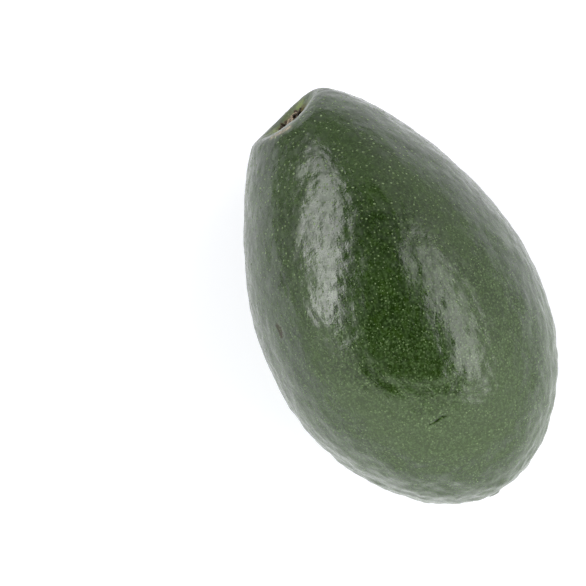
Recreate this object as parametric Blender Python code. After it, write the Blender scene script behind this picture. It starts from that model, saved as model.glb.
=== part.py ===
"""An avocado lying on its side: the whole fruit, and the dry stem button that sits in its dimple.

Metres, +Z up. The long axis lies along X, with the stem end at -X and the blossom end at +X.
The origin is on the ground, under the middle of the fruit.
"""

import math

import bmesh
import bpy
from mathutils import Matrix, Vector, noise

# The body is an egg curve turned about the long axis: its radius at a share x of the half length,
# from -1 at the stem to 1 at the blossom end, is sqrt(1 - x^2) times a cubic in x.
HALF_LENGTH = 0.0571
MID_RADIUS = 0.0353
BELLY_RADIUS = 0.0069
END_RADIUS = -0.0043
NECK_RADIUS = -0.0023
HEIGHT_SHARE = 0.975
TIP_DRIFT = 0.0010

# The stem sits off the end of the axis, towards -Y and +Z: its offset as an angle from the pole
# of the body, and the turn of that offset from +Z towards -Y
STEM_OFFSET = math.radians(11.7)
STEM_TURN = math.radians(58.0)

# The dimple round the stem, and the socket in its floor that holds the button: radii are from the stem.
# The dimple is a little wider across the DIMPLE_SWAY line and towards +Y, so its rim isn't level.
DIMPLE_DEPTH = 0.0065
DIMPLE_FLOOR_RADIUS = 0.0021
DIMPLE_EDGE_RADIUS = 0.0118
DIMPLE_STRETCH = 0.12
DIMPLE_SWAY = math.radians(-24.0)
DIMPLE_LOP = 0.13
SOCKET_RADIUS = 0.0045
SOCKET_WALL = 0.00025
SOCKET_DEPTH = 0.0028

# The scar of the flower at the blossom tip: a low corky ring round a shallow pit
SCAR_RADIUS = 0.0014
SCAR_HEIGHT = 0.00030

# Soft lumps of the grown skin
LUMP_SPACING = 0.0170
LUMP_HEIGHT = 0.00032
KNOB_SPACING = 0.0075
KNOB_HEIGHT = 0.00014

# The small flat spot that the fruit rests on, and the soft edge round it
FLAT_DEPTH = 0.0009
FLAT_EDGE = 0.00030

# The mesh: segments around the axis, and ring angles from the stem, close together at the socket and scar
AROUND = 72
STEM_RINGS = (3.4, 6.6, 8.8, 9.28, 9.81, 11.0, 12.6, 14.3, 16.0, 17.7, 19.5, 21.4, 23.4, 25.7, 28.4)
BODY_RING_STEP = 3.4
TIP_RINGS = (174.6, 176.2, 177.2, 178.1, 179.0)

# The stem button: how far its top lies under the body's own surface, and its sizes from that top down
BUTTON_SINK = 0.0056
BUTTON_LEAN = math.radians(6.0)
CORE_RADIUS = 0.0027
CORE_HEIGHT = 0.0026
CORE_DOME = 0.0004
CORE_SIDES = 40
CORE_RINGS = 12
FLAKE_LEVEL = -0.0012
FLAKE_THICKNESS = 0.0007
FLAKE_ROOT_RADIUS = 0.0017
# Each flake of the collar: its direction in degrees, reach from the centre, width and lift of its tip
FLAKES = (
    (2, 0.0040, 0.0019, 0.0007),
    (48, 0.0035, 0.0021, 0.0008),
    (93, 0.0038, 0.0026, 0.0004),
    (138, 0.0037, 0.0020, 0.0002),
    (178, 0.0040, 0.0021, 0.0001),
    (221, 0.0040, 0.0023, 0.0000),
    (269, 0.0041, 0.0029, 0.0003),
    (318, 0.0039, 0.0026, 0.0005),
)

SKIN_COLOUR = (0.030, 0.080, 0.014, 1.0)
WOOD_COLOUR = (0.36, 0.20, 0.11, 1.0)


def step(value, low, high):
    """A smooth step from 0 at low to 1 at high."""
    share = min(1.0, max(0.0, (value - low) / (high - low)))
    return share * share * (3.0 - 2.0 * share)


def girth(x):
    """The cubic of the egg curve at a share x of the half length."""
    return MID_RADIUS + BELLY_RADIUS * x + END_RADIUS * x**2 + NECK_RADIUS * x**3


def offset_axis():
    """The line square to the long axis that turns the pole of the body to the stem."""
    towards = Vector((0.0, -math.sin(STEM_TURN), math.cos(STEM_TURN)))
    return Vector((-1.0, 0.0, 0.0)).cross(towards)


def body_point(ring, around):
    """A point of the egg, by its angle from the stem and its angle round it."""
    direction = Vector((-math.cos(ring), math.sin(ring) * math.cos(around), math.sin(ring) * math.sin(around)))
    offset = STEM_OFFSET * (1.0 + math.cos(ring)) / 2.0
    direction.rotate(Matrix.Rotation(offset, 3, offset_axis()))
    radius = girth(direction.x)
    drift = TIP_DRIFT * max(0.0, direction.x) ** 2
    return Vector((
        HALF_LENGTH * direction.x,
        radius * direction.y + drift,
        radius * direction.z * HEIGHT_SHARE,
    ))


def stem_direction():
    """The way the stem points: square to the body where the stem grew."""
    small = math.radians(1.0)
    opposite = body_point(small, math.pi) - body_point(small, 0.0)
    across = body_point(small, 1.5 * math.pi) - body_point(small, 0.5 * math.pi)
    outward = opposite.cross(across).normalized()
    return outward if outward.x < 0.0 else -outward


def stem_radius(ring):
    """How far from the stem a ring of the mesh is, in the dimple."""
    return girth(-1.0) * math.sin(ring)


def skin_point(ring, around, stem_way):
    """A point of the smooth skin, with its dimple, its socket and the scar at its tip."""
    point = body_point(ring, around)
    if ring < math.pi / 2.0:
        radius = stem_radius(ring)
        stretch = DIMPLE_STRETCH * math.sin(around - DIMPLE_SWAY) ** 2 + DIMPLE_LOP * math.cos(around)
        edge = DIMPLE_EDGE_RADIUS * (1.0 + stretch)
        inward = DIMPLE_DEPTH * (1.0 - step(radius, DIMPLE_FLOOR_RADIUS, edge))
        inward += SOCKET_DEPTH * (1.0 - step(radius, SOCKET_RADIUS - SOCKET_WALL, SOCKET_RADIUS))
        return point - stem_way * inward
    radius = girth(1.0) * math.sin(ring)
    ridge = step(radius, 0.0, 0.6 * SCAR_RADIUS) * (1.0 - step(radius, 0.7 * SCAR_RADIUS, 1.3 * SCAR_RADIUS))
    point.x += SCAR_HEIGHT * ridge
    return point


def stem_frame():
    """The button's own frame: its origin at the top of the button and its Z out of the dimple."""
    stem_way = stem_direction()
    top = body_point(0.0, 0.0) - stem_way * BUTTON_SINK
    facing = stem_way.to_track_quat("Z", "Y").to_matrix().to_4x4()
    return Matrix.Translation(top) @ facing @ Matrix.Rotation(BUTTON_LEAN, 4, "Y")


def lump(point):
    """How far the grown skin stands out of the smooth body here: broad lumps with smaller knobs on them."""
    broad = LUMP_HEIGHT * noise.noise(point / LUMP_SPACING)
    small = KNOB_HEIGHT * noise.noise(point / KNOB_SPACING)
    return broad + small


def pressed(height, ground):
    """The height above ground with the underside pressed flat on it, with a soft edge."""
    over = height - ground
    if over >= FLAT_EDGE:
        return over
    if over <= -FLAT_EDGE:
        return 0.0
    return (over + FLAT_EDGE) ** 2 / (4.0 * FLAT_EDGE)


def new_material(name, colour, roughness):
    material = bpy.data.materials.new(name)
    material.use_nodes = True
    shader = material.node_tree.nodes["Principled BSDF"]
    shader.inputs["Base Color"].default_value = colour
    shader.inputs["Roughness"].default_value = roughness
    shader.inputs["Metallic"].default_value = 0.0
    material.diffuse_color = colour
    return material


def add_object(name, bm, collection, material):
    """The object of a finished bmesh, shaded smooth apart from its sharp edges."""
    mesh = bpy.data.meshes.new(name)
    bm.to_mesh(mesh)
    bm.free()
    mesh.materials.append(material)
    mesh.shade_smooth()
    mesh.set_sharp_from_angle(angle=math.radians(40.0))
    made = bpy.data.objects.new(name, mesh)
    collection.objects.link(made)
    return made


def ring_angles():
    """The angle of each ring of the mesh from the stem, in radians, poles included."""
    first = STEM_RINGS[-1]
    last = TIP_RINGS[0]
    body_rings = round((last - first) / BODY_RING_STEP)
    body = [first + (last - first) * i / body_rings for i in range(1, body_rings)]
    return [math.radians(angle) for angle in (0.0, *STEM_RINGS, *body, *TIP_RINGS, 180.0)]


def make_fruit(collection, material):
    """The fruit: a sphere's rings are moved to the skin, then lumps are raised and the underside pressed."""
    rings = ring_angles()
    stem_way = stem_direction()
    bm = bmesh.new()
    bmesh.ops.create_uvsphere(bm, u_segments=AROUND, v_segments=len(rings) - 1, radius=1.0)
    lump_share = {}
    for vert in bm.verts:
        sphere_angle = math.acos(max(-1.0, min(1.0, vert.co.z)))
        ring = rings[round(sphere_angle / math.pi * (len(rings) - 1))]
        around = math.atan2(vert.co.x, vert.co.y)
        lump_share[vert] = 1.0 if ring > 1.0 else step(stem_radius(ring), SOCKET_RADIUS, 3.0 * SOCKET_RADIUS)
        vert.co = skin_point(ring, around, stem_way)
    bm.normal_update()
    moves = {vert: vert.normal * lump(vert.co) * lump_share[vert] for vert in bm.verts}
    for vert, move in moves.items():
        vert.co += move
    ground = min(vert.co.z for vert in bm.verts) + FLAT_DEPTH
    for vert in bm.verts:
        vert.co.z = pressed(vert.co.z, ground)
    middle = (max(v.co.x for v in bm.verts) + min(v.co.x for v in bm.verts)) / 2.0
    side = (max(v.co.y for v in bm.verts) + min(v.co.y for v in bm.verts)) / 2.0
    to_ground = Vector((-middle, -side, 0.0))
    bmesh.ops.translate(bm, verts=bm.verts, vec=to_ground)
    bmesh.ops.triangulate(bm, faces=bm.faces)
    return add_object("fruit", bm, collection, material), to_ground - Vector((0.0, 0.0, ground))


def make_core(collection, material):
    """The woody end of the stem: a short plug with a knobbly, ridged face."""
    bm = bmesh.new()
    bmesh.ops.create_uvsphere(bm, u_segments=CORE_SIDES, v_segments=CORE_RINGS, radius=1.0)
    middle = -CORE_DOME - CORE_HEIGHT / 2.0
    for vert in bm.verts:
        around = math.atan2(vert.co.y, vert.co.x)
        from_axis = math.hypot(vert.co.x, vert.co.y)
        side = from_axis**0.45
        radius = CORE_RADIUS * side * (1.0 + 0.03 * math.cos(5.0 * around + 0.7))
        height = math.copysign(abs(vert.co.z) ** 0.35, vert.co.z) * CORE_HEIGHT / 2.0
        if vert.co.z > 0.0:
            height += CORE_DOME * (1.0 - side) + 0.00022 * side * math.sin(6.0 * around + 9.0 * side)
        vert.co = Vector((radius * math.cos(around), radius * math.sin(around), middle + height))
    bmesh.ops.recalc_face_normals(bm, faces=bm.faces)
    return add_object("stem_button", bm, collection, material)


def make_flake(index, angle, reach, width, lift, collection, material):
    """One dry flake of the collar: a thin plate, rooted in the core, with a ragged tip."""
    bm = bmesh.new()
    bmesh.ops.create_cube(bm, size=1.0)
    lengthwise = [e for e in bm.edges if abs(e.verts[0].co.x - e.verts[1].co.x) > 0.5]
    bmesh.ops.subdivide_edges(bm, edges=lengthwise, cuts=4)
    crosswise = [e for e in bm.edges if abs(e.verts[0].co.y - e.verts[1].co.y) > 0.5]
    bmesh.ops.subdivide_edges(bm, edges=crosswise, cuts=3)
    length = reach - FLAKE_ROOT_RADIUS
    for vert in bm.verts:
        out = vert.co.x + 0.5
        across = vert.co.y
        ragged = 0.16 * math.sin(7.0 * across + index) * out
        spread = width * (1.0 - 0.55 * out**3)
        height = FLAKE_LEVEL + lift * out**2 + 0.0002 * (1.0 - 4.0 * across**2)
        thickness = FLAKE_THICKNESS * (1.0 - 0.12 * out)
        vert.co = Vector((
            FLAKE_ROOT_RADIUS + length * (out - abs(ragged)),
            across * spread,
            height + vert.co.z * thickness,
        ))
    bmesh.ops.rotate(bm, verts=bm.verts, matrix=Matrix.Rotation(math.radians(angle), 3, "Z"))
    bmesh.ops.recalc_face_normals(bm, faces=bm.faces)
    return add_object(f"flake_{index}", bm, collection, material)


def make_stem_button(collection, cutters, material, to_ground):
    """The dry end of the stem with its collar of flakes, one body, standing in the socket."""
    button = make_core(collection, material)
    for index, (angle, reach, width, lift) in enumerate(FLAKES):
        make_flake(index, angle, reach, width, lift, cutters, material)
    union = button.modifiers.new("flakes", "BOOLEAN")
    union.operation = "UNION"
    union.operand_type = "COLLECTION"
    union.collection = cutters
    union.solver = "EXACT"
    graph = bpy.context.evaluated_depsgraph_get()
    joined = bpy.data.meshes.new_from_object(button.evaluated_get(graph))
    button.modifiers.remove(union)
    button.data = joined
    for flake in list(cutters.objects):
        bpy.data.objects.remove(flake)
    button.matrix_world = Matrix.Translation(to_ground) @ stem_frame()
    return button


def main():
    for leftover in list(bpy.data.objects):
        bpy.data.objects.remove(leftover)
    avocado = bpy.data.collections.new("avocado")
    flakes = bpy.data.collections.new("flakes")
    bpy.context.scene.collection.children.link(avocado)
    bpy.context.scene.collection.children.link(flakes)
    skin = new_material("avocado_skin", SKIN_COLOUR, 0.32)
    wood = new_material("dry_stem_wood", WOOD_COLOUR, 0.85)
    fruit, to_ground = make_fruit(avocado, skin)
    make_stem_button(avocado, flakes, wood, to_ground)
    bpy.data.collections.remove(flakes)


main()
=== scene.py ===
# %% [markdown]
# # A whole avocado, lying on its side
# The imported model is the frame: the fruit with its stem end at -X and its blossom end at +X, and the
# dry stem button in the dimple. This lesson keeps that frame and gives each piece its real surface.
# Everything is in metres, +Z is up, and a finished piece sits at the origin with its place in its mesh.

import math

import bmesh
import bpy
from mathutils import Matrix, Vector, noise
from mathutils.bvhtree import BVHTree


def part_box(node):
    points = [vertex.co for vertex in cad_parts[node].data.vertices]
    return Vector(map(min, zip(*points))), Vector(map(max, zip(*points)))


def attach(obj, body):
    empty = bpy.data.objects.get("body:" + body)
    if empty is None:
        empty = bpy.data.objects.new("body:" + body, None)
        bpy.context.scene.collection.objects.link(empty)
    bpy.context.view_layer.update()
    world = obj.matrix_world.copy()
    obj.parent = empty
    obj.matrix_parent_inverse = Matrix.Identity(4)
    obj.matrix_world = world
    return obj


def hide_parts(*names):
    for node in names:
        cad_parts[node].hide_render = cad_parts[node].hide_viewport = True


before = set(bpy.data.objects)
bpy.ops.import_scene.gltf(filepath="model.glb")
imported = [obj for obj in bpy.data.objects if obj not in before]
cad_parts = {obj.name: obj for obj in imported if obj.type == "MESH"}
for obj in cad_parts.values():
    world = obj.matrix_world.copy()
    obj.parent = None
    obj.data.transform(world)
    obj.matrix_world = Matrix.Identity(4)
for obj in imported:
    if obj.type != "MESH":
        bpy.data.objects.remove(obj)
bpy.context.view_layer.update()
print("nodes:", sorted(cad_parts))

# %% [markdown]
# ## Three small helpers
# Colours are written as the sRGB hex values that a picture editor shows, and Blender's sockets take
# linear values, so one function turns them. A second adds a node with its settings and its links in
# one call. The third is a smooth step, which is how most soft borders on the fruit are written.

# %% Helpers
def linear(hex_colour):
    """An sRGB hex colour as the linear RGBA that Blender's sockets take."""
    channels = [int(hex_colour[i:i + 2], 16) / 255.0 for i in (1, 3, 5)]
    return [c / 12.92 if c <= 0.04045 else ((c + 0.055) / 1.055) ** 2.4 for c in channels] + [1.0]


def add_node(tree, kind, inputs=None, **settings):
    """Adds a node: settings are its own properties, inputs maps a socket to a value or to an output."""
    node = tree.nodes.new(kind)
    for key, value in settings.items():
        setattr(node, key, value)
    for socket, value in (inputs or {}).items():
        if isinstance(value, bpy.types.NodeSocket):
            tree.links.new(value, node.inputs[socket])
        else:
            node.inputs[socket].default_value = value
    return node


def step(value, low, high):
    """A smooth step from 0 at low to 1 at high."""
    share = min(1.0, max(0.0, (value - low) / (high - low)))
    return share * share * (3.0 - 2.0 * share)


print("avocado green as linear values:", [round(c, 4) for c in linear("#2F4A16")])

# %% [markdown]
# ## The camera
# The photo looks almost straight down on the lying fruit, from a little over half a metre, with a long
# lens. The camera keeps level, so its picture's right side is a line on the ground. It is moved
# sideways, not shifted, so that the fruit sits right of the middle as in the photo.

# %% Place the camera
VIEW_TURN = math.radians(63.3)
VIEW_RISE = math.radians(88.0)
VIEW_DISTANCE = 0.62
LENS = 150.5
SENSOR = 36.0
PHOTO_PIXELS = 586
FRUIT_MIDDLE = Vector((0.0, 0.0, 0.034))
FRUIT_PIXEL = (391.5, 297.3)

to_camera = Vector((
    math.sin(VIEW_TURN) * math.cos(VIEW_RISE),
    -math.cos(VIEW_TURN) * math.cos(VIEW_RISE),
    math.sin(VIEW_RISE),
))
image_right = Vector((math.cos(VIEW_TURN), math.sin(VIEW_TURN), 0.0))
image_up = to_camera.cross(image_right)
pixel_size = VIEW_DISTANCE * SENSOR / LENS / PHOTO_PIXELS
across = (FRUIT_PIXEL[0] - PHOTO_PIXELS / 2.0) * pixel_size
down = (FRUIT_PIXEL[1] - PHOTO_PIXELS / 2.0) * pixel_size
camera_place = FRUIT_MIDDLE - image_right * across + image_up * down + to_camera * VIEW_DISTANCE

camera_data = bpy.data.cameras.new("studio_camera")
camera_data.lens = LENS
camera_data.sensor_width = SENSOR
camera_data.clip_start = 0.05
camera_data.clip_end = 20.0
camera = bpy.data.objects.new("studio_camera", camera_data)
bpy.context.scene.collection.objects.link(camera)
facing = Matrix((image_right, image_up, to_camera)).transposed().to_4x4()
camera.matrix_world = Matrix.Translation(camera_place) @ facing
bpy.context.scene.camera = camera
print("one pixel of the photo is", round(pixel_size * 1000.0, 3), "mm at the fruit")


def photo_ray(pixel_x, pixel_y):
    """The direction from the camera through a pixel of the photo."""
    side = (pixel_x - PHOTO_PIXELS / 2.0) / PHOTO_PIXELS * SENSOR / LENS
    rise = (PHOTO_PIXELS / 2.0 - pixel_y) / PHOTO_PIXELS * SENSOR / LENS
    return (image_right * side + image_up * rise - to_camera).normalized()


# %% [markdown]
# ## The light
# A glossy fruit shows the studio in its skin, so the light is built the way it is seen there: a pale
# tent all round, a dark opening over the fruit where the camera looks in, and a slanting soft box on
# each side of the opening. A box is given by the direction of its middle and of its long axis, both as
# shares of the picture's right, the picture's up and the way back to the camera. It is brighter at one
# end and has a soft fringe on its outer side, because that is how its mirror image in the wax looks.

# %% Sizes and directions of the soft boxes
SOFT_BOXES = {
    "left_soft_box": {
        "towards": (-0.722, 0.365, 0.588),
        "long_axis": (0.399, 0.917, 0.017),
        "width": 0.29,
        "radiance": 7.1,
    },
    "right_soft_box": {
        "towards": (0.598, 0.144, 0.788),
        "long_axis": (-0.277, 0.960, 0.026),
        "width": 0.41,
        "radiance": 3.6,
    },
}
SOFT_BOX_DISTANCE = 0.80
SOFT_BOX_LENGTH = 1.06
SOFT_BOX_FALL = 0.66
SOFT_BOX_FRINGE = 0.38
FRINGE_LIGHT = 0.1


def from_picture(shares):
    """A direction given as shares of the picture's right, its up and the way back to the camera."""
    return (image_right * shares[0] + image_up * shares[1] + to_camera * shares[2]).normalized()


# %% Hang the two soft boxes
inner_sides = []
for name, given in SOFT_BOXES.items():
    towards = from_picture(given["towards"])
    long_axis = from_picture(given["long_axis"])
    long_axis = (long_axis - towards * long_axis.dot(towards)).normalized()
    inner = long_axis.cross(towards)
    inner_at_high_end = inner.dot(to_camera) > 0.0
    inner_sides.append(inner if inner_at_high_end else -inner)
    box = bpy.data.lights.new(name, "AREA")
    box.shape = "RECTANGLE"
    box.size = given["width"]
    box.size_y = SOFT_BOX_LENGTH
    box.energy = given["radiance"] * math.pi * given["width"] * SOFT_BOX_LENGTH
    box.use_nodes = True
    cloth = box.node_tree
    face = add_node(cloth, "ShaderNodeNewGeometry").outputs["Parametric"]
    face = add_node(cloth, "ShaderNodeSeparateXYZ", {0: face})
    fall = add_node(cloth, "ShaderNodeMapRange", {
        0: face.outputs[1],
        3: 1.0 + SOFT_BOX_FALL / 2.0,
        4: 1.0 - SOFT_BOX_FALL / 2.0,
    })
    fringe_ends = (0.0, SOFT_BOX_FRINGE) if inner_at_high_end else (1.0, 1.0 - SOFT_BOX_FRINGE)
    fringe = add_node(cloth, "ShaderNodeMapRange", {
        0: face.outputs[0],
        1: fringe_ends[0],
        2: fringe_ends[1],
        3: FRINGE_LIGHT,
        4: 1.0,
    }, interpolation_type="SMOOTHSTEP")
    glow = add_node(cloth, "ShaderNodeMath", {0: fall.outputs[0], 1: fringe.outputs[0]}, operation="MULTIPLY")
    cloth.links.new(glow.outputs[0], cloth.nodes["Emission"].inputs["Strength"])
    lamp = bpy.data.objects.new(name, box)
    bpy.context.scene.collection.objects.link(lamp)
    turned = Matrix((long_axis.cross(towards), long_axis, towards)).transposed().to_4x4()
    lamp.matrix_world = Matrix.Translation(FRUIT_MIDDLE + towards * SOFT_BOX_DISTANCE) @ turned
    lamp.visible_camera = False
    print(name, "gives", round(box.energy, 2), "W")

# %% [markdown]
# The tent and its opening are one world shader. It measures each direction against the picture's right
# and up and against the middle lines of the two boxes. The opening lies between those lines, and its
# lower border curves up at both ends. The tent is dimmer towards the picture's upper left, and the
# camera itself sees plain white.

# %% Sizes of the tent and its opening
TENT_LIGHT_ABOVE = 1.14
TENT_LIGHT_BELOW = 1.80
TENT_ABOVE_FROM = 0.5
TENT_BELOW_FROM = -0.7
FAR_SIDE_SHARE = 0.35
FAR_SIDE_FROM = 0.15
OPENING_LIGHT = 0.02
OPENING_TOP = 0.79
OPENING_BOTTOM = -0.60
OPENING_ROUND = 0.55
OPENING_DEPTH = 0.12
OPENING_EDGE = 0.05
SEEN_WHITE = 1.2

bpy.context.scene.view_settings.view_transform = "Standard"
world = bpy.data.worlds.new("white_tent")
bpy.context.scene.world = world
world.use_nodes = True
sky = world.node_tree
sky.nodes.clear()
direction = add_node(sky, "ShaderNodeTexCoord").outputs["Generated"]


def along(way):
    """How far the looked-at direction points a given way, from -1 to 1."""
    node = add_node(sky, "ShaderNodeVectorMath", {0: direction, 1: way}, operation="DOT_PRODUCT")
    return node.outputs["Value"]


def beyond(value, limit):
    """A smooth 1 where a value is over a limit, with the opening's soft edge."""
    node = add_node(sky, "ShaderNodeMapRange", {0: value, 1: limit - OPENING_EDGE, 2: limit + OPENING_EDGE},
                    interpolation_type="SMOOTHSTEP")
    return node.outputs[0]


# %% Cut the opening out of the tent
rightward = along(image_right)
upward = along(image_up)
downward = add_node(sky, "ShaderNodeMath", {0: upward, 1: -1.0}, operation="MULTIPLY").outputs[0]
curve = add_node(sky, "ShaderNodeMath", {0: rightward, 1: rightward}, operation="MULTIPLY").outputs[0]
curve = add_node(sky, "ShaderNodeMath", {0: curve, 1: OPENING_ROUND}, operation="MULTIPLY").outputs[0]
over_curve = add_node(sky, "ShaderNodeMath", {0: upward, 1: curve}, operation="SUBTRACT").outputs[0]
opening = beyond(over_curve, OPENING_BOTTOM)
borders = [beyond(downward, -OPENING_TOP), beyond(along(to_camera), OPENING_DEPTH)]
borders += [beyond(along(inner), 0.0) for inner in inner_sides]
for inside in borders:
    opening = add_node(sky, "ShaderNodeMath", {0: opening, 1: inside}, operation="MULTIPLY").outputs[0]
print("borders of the opening:", 1 + len(borders))

# %% Light the tent
tent_light = add_node(sky, "ShaderNodeMapRange", {
    0: upward,
    1: TENT_BELOW_FROM,
    2: TENT_ABOVE_FROM,
    3: TENT_LIGHT_BELOW,
    4: TENT_LIGHT_ABOVE,
}).outputs[0]
far_side = along((image_up - image_right).normalized())
dimmed = add_node(sky, "ShaderNodeMapRange", {
    0: far_side,
    1: FAR_SIDE_FROM,
    2: 1.0,
    3: 1.0,
    4: FAR_SIDE_SHARE,
}).outputs[0]
tent_light = add_node(sky, "ShaderNodeMath", {0: tent_light, 1: dimmed}, operation="MULTIPLY").outputs[0]
strength = add_node(sky, "ShaderNodeMix", {0: opening, 2: tent_light, 3: OPENING_LIGHT}).outputs[0]
seen = add_node(sky, "ShaderNodeLightPath").outputs["Is Camera Ray"]
strength = add_node(sky, "ShaderNodeMix", {0: seen, 2: strength, 3: SEEN_WHITE}).outputs[0]
tent = add_node(sky, "ShaderNodeBackground", {"Color": linear("#F3FFE8"), "Strength": strength})
add_node(sky, "ShaderNodeOutputWorld", {"Surface": tent.outputs[0]})
print("nodes in the tent's shader:", len(sky.nodes))

# %% [markdown]
# ## The floor
# The fruit lies on a plain white sheet. In the photo the sheet is brighter than the picture can hold,
# with only a faint shadow, so a little light of its own is added to the matt white. That glow is left
# out under the fruit, where its contact shade belongs, and it grows far away, so that the sheet has
# no visible end in low views.

# %% Lay the floor
FLOOR_GLOW = 0.24
FAR_FLOOR_GLOW = 0.50
FAR_FLOOR_FROM = 0.2
FAR_FLOOR_TO = 0.9
CONTACT_RADIUS = 0.010
CLEAR_RADIUS = 0.036
FLOOR_REACH = 3.0

sheet = bpy.data.materials.new("matt_white_paper_sheet")
sheet.use_nodes = True
sheet_nodes = sheet.node_tree
paper = sheet_nodes.nodes["Principled BSDF"]
paper.inputs["Base Color"].default_value = linear("#F0EDF8")
paper.inputs["Roughness"].default_value = 0.9
paper.inputs["Specular IOR Level"].default_value = 0.1
paper.inputs["Emission Color"].default_value = linear("#FAF8FF")
sheet_spot = add_node(sheet_nodes, "ShaderNodeTexCoord").outputs["Object"]
from_fruit = add_node(sheet_nodes, "ShaderNodeVectorMath", {0: sheet_spot}, operation="LENGTH")
from_fruit = from_fruit.outputs["Value"]
far_glow = add_node(sheet_nodes, "ShaderNodeMapRange", {
    0: from_fruit,
    1: FAR_FLOOR_FROM,
    2: FAR_FLOOR_TO,
    3: FLOOR_GLOW,
    4: FAR_FLOOR_GLOW,
}, interpolation_type="SMOOTHSTEP").outputs[0]
clear = add_node(sheet_nodes, "ShaderNodeMapRange", {
    0: from_fruit,
    1: CONTACT_RADIUS,
    2: CLEAR_RADIUS,
}).outputs[0]
glow = add_node(sheet_nodes, "ShaderNodeMath", {0: far_glow, 1: clear}, operation="MULTIPLY")
sheet_nodes.links.new(glow.outputs[0], paper.inputs["Emission Strength"])

bm = bmesh.new()
bmesh.ops.create_grid(bm, x_segments=1, y_segments=1, size=FLOOR_REACH)
floor_mesh = bpy.data.meshes.new("floor")
bm.to_mesh(floor_mesh)
bm.free()
floor_mesh.materials.append(sheet)
floor = bpy.data.objects.new("floor", floor_mesh)
bpy.context.scene.collection.objects.link(floor)
print("the floor is", round(2.0 * FLOOR_REACH, 1), "m wide")

# %% [markdown]
# ## The form of the fruit
# The solids were made from a rule, so the same rule gives the skin again with many more points: an egg
# curve turned about the long axis, a stem set off the end of that axis, a dimple with a socket, and
# soft grown lumps. The numbers are those of the solids, so the fine skin keeps their form.

# %% Sizes of the form
# The egg curve: half its length, and its girth as a cubic in the share of that length
HALF_LENGTH = 0.0571
MID_RADIUS = 0.0353
BELLY_RADIUS = 0.0069
END_RADIUS = -0.0043
NECK_RADIUS = -0.0023
HEIGHT_SHARE = 0.975
TIP_DRIFT = 0.0010
# The stem's place, as an angle off the end of the axis and the way it is turned
STEM_OFFSET = math.radians(11.7)
STEM_TURN = math.radians(58.0)
# The dimple round the stem and the socket in its floor
DIMPLE_DEPTH = 0.0065
DIMPLE_FLOOR_RADIUS = 0.0021
DIMPLE_EDGE_RADIUS = 0.0118
DIMPLE_STRETCH = 0.12
DIMPLE_SWAY = math.radians(-24.0)
DIMPLE_LOP = 0.13
SOCKET_RADIUS = 0.0045
SOCKET_WALL = 0.00025
SOCKET_DEPTH = 0.0028
# The flower's scar at the blossom end: a low ring, its borders as shares of the scar's radius
SCAR_RADIUS = 0.0014
SCAR_HEIGHT = 0.00030
SCAR_INNER = 0.6
SCAR_CREST = 0.7
SCAR_OUTER = 1.3
# The soft lumps, and the flat spot that the fruit rests on
LUMP_SPACING = 0.0170
LUMP_HEIGHT = 0.00032
KNOB_SPACING = 0.0075
KNOB_HEIGHT = 0.00014
FLAT_DEPTH = 0.0009
FLAT_EDGE = 0.00030

# %% The egg curve and the stem's place on it
def girth(x):
    """The cubic of the egg curve at a share x of the half length."""
    return MID_RADIUS + BELLY_RADIUS * x + END_RADIUS * x**2 + NECK_RADIUS * x**3


offset_axis = Vector((-1.0, 0.0, 0.0)).cross(Vector((0.0, -math.sin(STEM_TURN), math.cos(STEM_TURN))))


def body_point(ring, around):
    """A point of the egg, by its angle from the stem and its angle round it."""
    off_axis = math.sin(ring)
    direction = Vector((-math.cos(ring), off_axis * math.cos(around), off_axis * math.sin(around)))
    offset = STEM_OFFSET * (1.0 + math.cos(ring)) / 2.0
    direction.rotate(Matrix.Rotation(offset, 3, offset_axis))
    radius = girth(direction.x)
    drift = TIP_DRIFT * max(0.0, direction.x) ** 2
    across = radius * direction.y + drift
    return Vector((HALF_LENGTH * direction.x, across, radius * direction.z * HEIGHT_SHARE))


one_degree = math.radians(1.0)
opposite = body_point(one_degree, math.pi) - body_point(one_degree, 0.0)
crosswise = body_point(one_degree, 1.5 * math.pi) - body_point(one_degree, 0.5 * math.pi)
stem_way = opposite.cross(crosswise).normalized()
stem_way = stem_way if stem_way.x < 0.0 else -stem_way
print("the stem points", [round(c, 3) for c in stem_way])

# %% The skin's rule
def skin_point(ring, around):
    """A point of the smooth skin, with its dimple, its socket and the scar at its tip."""
    point = body_point(ring, around)
    if ring < math.pi / 2.0:
        radius = girth(-1.0) * math.sin(ring)
        stretch = DIMPLE_STRETCH * math.sin(around - DIMPLE_SWAY) ** 2 + DIMPLE_LOP * math.cos(around)
        edge = DIMPLE_EDGE_RADIUS * (1.0 + stretch)
        inward = DIMPLE_DEPTH * (1.0 - step(radius, DIMPLE_FLOOR_RADIUS, edge))
        inward += SOCKET_DEPTH * (1.0 - step(radius, SOCKET_RADIUS - SOCKET_WALL, SOCKET_RADIUS))
        return point - stem_way * inward
    radius = girth(1.0) * math.sin(ring)
    ridge = step(radius, 0.0, SCAR_INNER * SCAR_RADIUS)
    ridge *= 1.0 - step(radius, SCAR_CREST * SCAR_RADIUS, SCAR_OUTER * SCAR_RADIUS)
    point.x += SCAR_HEIGHT * ridge
    return point


def lump(point):
    """How far the grown skin stands out of the smooth body here."""
    return LUMP_HEIGHT * noise.noise(point / LUMP_SPACING) + KNOB_HEIGHT * noise.noise(point / KNOB_SPACING)


def pressed(height, ground):
    """The height above ground with the underside pressed flat on it, with a soft edge."""
    over = height - ground
    if over >= FLAT_EDGE:
        return over
    if over <= -FLAT_EDGE:
        return 0.0
    return (over + FLAT_EDGE) ** 2 / (4.0 * FLAT_EDGE)


# %% [markdown]
# ## The fine skin
# A ball's rings are moved to that rule, about three hundred along and as many points round, which puts
# a point about every 0.6 mm. Rings crowd together at the socket's wall, so its edge stays crisp. The
# ball is written out ring by ring. Blender's own UV sphere looks the same, but the order of its faces
# changes from run to run, and the dots that are scattered over them later would change with it.

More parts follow.
